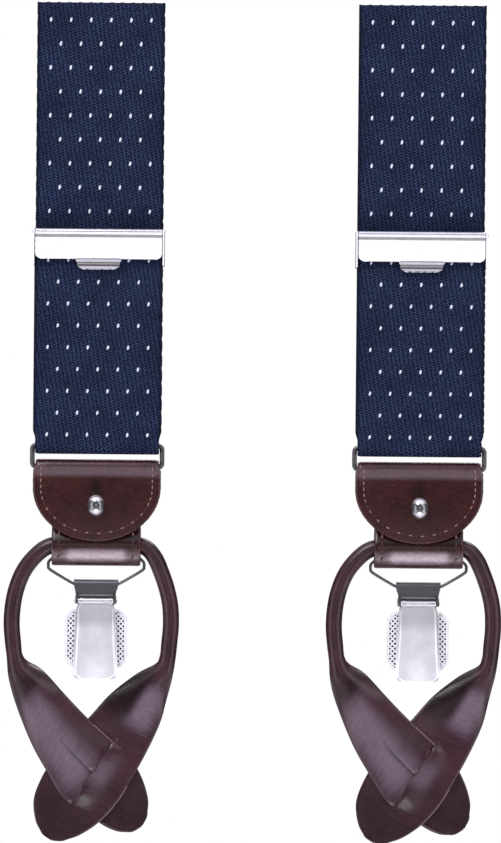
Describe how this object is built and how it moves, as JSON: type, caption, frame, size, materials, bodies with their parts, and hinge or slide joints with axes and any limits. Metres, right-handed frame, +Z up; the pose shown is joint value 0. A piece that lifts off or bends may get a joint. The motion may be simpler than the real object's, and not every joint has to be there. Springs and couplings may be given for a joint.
{
  "type": "suspenders",
  "caption": "Front straps of button-and-clip suspenders: webbing with slide adjusters, wire rings, studded leather tabs, rolled leather button loops and grip clips.",
  "frame": {"origin": "midway between the two cut top ends of the straps, at the middle of their hardware's depth", "axes": "+Z up along the hanging straps, +X to the viewer's right, the front faces -Y"},
  "size_m": [0.1348, 0.0123, 0.2273],
  "materials": {
    "webbing": "navy twill with small white pin dots",
    "tab_leather": "dark reddish-brown, polished",
    "rolled_leather": "dark plum-brown, fine creases",
    "nickel": "bright nickel plate",
    "dark_steel": "dark satin steel",
    "wire": "drawn steel wire",
    "rubber": "matt",
    "thread": "waxed sewing thread"
  },
  "bodies": {
    "straps": {"left_upper_webbing": "webbing", "left_rear_webbing": "webbing", "right_upper_webbing": "webbing", "right_rear_webbing": "webbing"},
    "left_drop": {"left_webbing_fold": "webbing", "left_front_webbing": "webbing"},
    "left_adjuster": {"left_adjuster_frame": "nickel", "left_adjuster_hinge_pin": "nickel"},
    "left_cam": {"left_adjuster_cam_plate": "nickel"},
    "left_ring": {"left_ring": "nickel"},
    "left_tab": {"left_tab_back": "tab_leather", "left_stud": "nickel", "left_stud_base": "nickel", "left_hanger_strip": "tab_leather"},
    "left_flap": {"left_tab_flap": "tab_leather"},
    "left_loop": {"left_loop_cord": "rolled_leather", "left_loop_tail_a": "rolled_leather", "left_loop_tail_b": "rolled_leather"},
    "left_bail": {"left_wire_bail": "wire"},
    "left_clip": {"left_clip_body": "dark_steel", "left_clip_hinge_pin": "nickel", "left_clip_grip_plate": "nickel", "left_clip_spring": "dark_steel"},
    "left_jaw": {"left_clip_inner_jaw": "nickel", "left_clip_jaw_pad": "rubber"},
    "left_cover": {"left_clip_cover": "nickel"},
    "right_drop": {"right_webbing_fold": "webbing", "right_front_webbing": "webbing"},
    "right_adjuster": {"right_adjuster_frame": "nickel", "right_adjuster_hinge_pin": "nickel"},
    "right_cam": {"right_adjuster_cam_plate": "nickel"},
    "right_ring": {"right_ring": "nickel"},
    "right_tab": {"right_tab_back": "tab_leather", "right_stud": "nickel", "right_stud_base": "nickel", "right_hanger_strip": "tab_leather"},
    "right_flap": {"right_tab_flap": "tab_leather"},
    "right_loop": {"right_loop_cord": "rolled_leather", "right_loop_tail_a": "rolled_leather", "right_loop_tail_b": "rolled_leather"},
    "right_bail": {"right_wire_bail": "wire"},
    "right_clip": {"right_clip_body": "dark_steel", "right_clip_hinge_pin": "nickel", "right_clip_grip_plate": "nickel", "right_clip_spring": "dark_steel"},
    "right_jaw": {"right_clip_inner_jaw": "nickel", "right_clip_jaw_pad": "rubber"},
    "right_cover": {"right_clip_cover": "nickel"}
  },
  "joints": [
    {"name": "left_strap_length", "type": "slide", "parent": "straps", "child": "left_drop", "axis": [0, 0, 1], "range_m": [-0.01, 0.015], "deforming": ["left_rear_webbing", "left_front_webbing"]},
    {"name": "left_adjuster_slide", "type": "slide", "parent": "left_drop", "child": "left_adjuster", "axis": [0, 0, 1], "range_m": [-0.01, 0.015]},
    {"name": "left_adjuster_cam", "type": "hinge", "parent": "left_adjuster", "child": "left_cam", "pos_m": [-0.0437, -0.00295, -0.0625], "axis": [-1, 0, 0], "range_deg": [0, 100]},
    {"name": "left_ring_pivot", "type": "hinge", "parent": "left_drop", "child": "left_ring", "pos_m": [-0.0437, 0, -0.1202], "axis": [1, 0, 0], "range_deg": [-30, 30]},
    {"name": "left_tab_pivot", "type": "hinge", "parent": "left_ring", "child": "left_tab", "pos_m": [-0.0437, 0, -0.1262], "axis": [1, 0, 0], "range_deg": [-60, 60]},
    {"name": "left_flap_hinge", "type": "hinge", "parent": "left_tab", "child": "left_flap", "pos_m": [-0.0437, -0.00235, -0.1274], "axis": [-1, 0, 0], "range_deg": [0, 110]},
    {"name": "left_loop_swing", "type": "hinge", "parent": "left_tab", "child": "left_loop", "pos_m": [-0.0437, 0, -0.1472], "axis": [1, 0, 0], "range_deg": [-45, 45]},
    {"name": "left_bail_pivot", "type": "hinge", "parent": "left_tab", "child": "left_bail", "pos_m": [-0.0437, 0, -0.151], "axis": [1, 0, 0], "range_deg": [-40, 40]},
    {"name": "left_clip_pivot", "type": "hinge", "parent": "left_bail", "child": "left_clip", "pos_m": [-0.0437, 0, -0.158], "axis": [1, 0, 0], "range_deg": [-50, 50]},
    {"name": "left_clip_cover_hinge", "type": "hinge", "parent": "left_clip", "child": "left_cover", "pos_m": [-0.0437, -0.0015, -0.1624], "axis": [-1, 0, 0], "range_deg": [0, 100]},
    {"name": "left_clip_jaw_hinge", "type": "hinge", "parent": "left_clip", "child": "left_jaw", "pos_m": [-0.0437, -0.0015, -0.1624], "axis": [-1, 0, 0], "range_deg": [0, 10]},
    {"name": "right_strap_length", "type": "slide", "parent": "straps", "child": "right_drop", "axis": [0, 0, 1], "range_m": [-0.01, 0.015], "deforming": ["right_rear_webbing", "right_front_webbing"]},
    {"name": "right_adjuster_slide", "type": "slide", "parent": "right_drop", "child": "right_adjuster", "axis": [0, 0, 1], "range_m": [-0.01, 0.015]},
    {"name": "right_adjuster_cam", "type": "hinge", "parent": "right_adjuster", "child": "right_cam", "pos_m": [0.0437, -0.00295, -0.0625], "axis": [-1, 0, 0], "range_deg": [0, 100]},
    {"name": "right_ring_pivot", "type": "hinge", "parent": "right_drop", "child": "right_ring", "pos_m": [0.0437, 0, -0.1202], "axis": [1, 0, 0], "range_deg": [-30, 30]},
    {"name": "right_tab_pivot", "type": "hinge", "parent": "right_ring", "child": "right_tab", "pos_m": [0.0437, 0, -0.1262], "axis": [1, 0, 0], "range_deg": [-60, 60]},
    {"name": "right_flap_hinge", "type": "hinge", "parent": "right_tab", "child": "right_flap", "pos_m": [0.0437, -0.00235, -0.1274], "axis": [-1, 0, 0], "range_deg": [0, 110]},
    {"name": "right_loop_swing", "type": "hinge", "parent": "right_tab", "child": "right_loop", "pos_m": [0.0437, 0, -0.1472], "axis": [1, 0, 0], "range_deg": [-45, 45]},
    {"name": "right_bail_pivot", "type": "hinge", "parent": "right_tab", "child": "right_bail", "pos_m": [0.0437, 0, -0.151], "axis": [1, 0, 0], "range_deg": [-40, 40]},
    {"name": "right_clip_pivot", "type": "hinge", "parent": "right_bail", "child": "right_clip", "pos_m": [0.0437, 0, -0.158], "axis": [1, 0, 0], "range_deg": [-50, 50]},
    {"name": "right_clip_cover_hinge", "type": "hinge", "parent": "right_clip", "child": "right_cover", "pos_m": [0.0437, -0.0015, -0.1624], "axis": [-1, 0, 0], "range_deg": [0, 100]},
    {"name": "right_clip_jaw_hinge", "type": "hinge", "parent": "right_clip", "child": "right_jaw", "pos_m": [0.0437, -0.0015, -0.1624], "axis": [-1, 0, 0], "range_deg": [0, 10]}
  ],
  "couplings": [
    {"joint": "left_adjuster_slide", "follows": "left_strap_length", "ratio": 1},
    {"joint": "left_clip_jaw_hinge", "follows": "left_clip_cover_hinge", "ratio": 0.1},
    {"joint": "right_adjuster_slide", "follows": "right_strap_length", "ratio": 1},
    {"joint": "right_clip_jaw_hinge", "follows": "right_clip_cover_hinge", "ratio": 0.1}
  ]
}
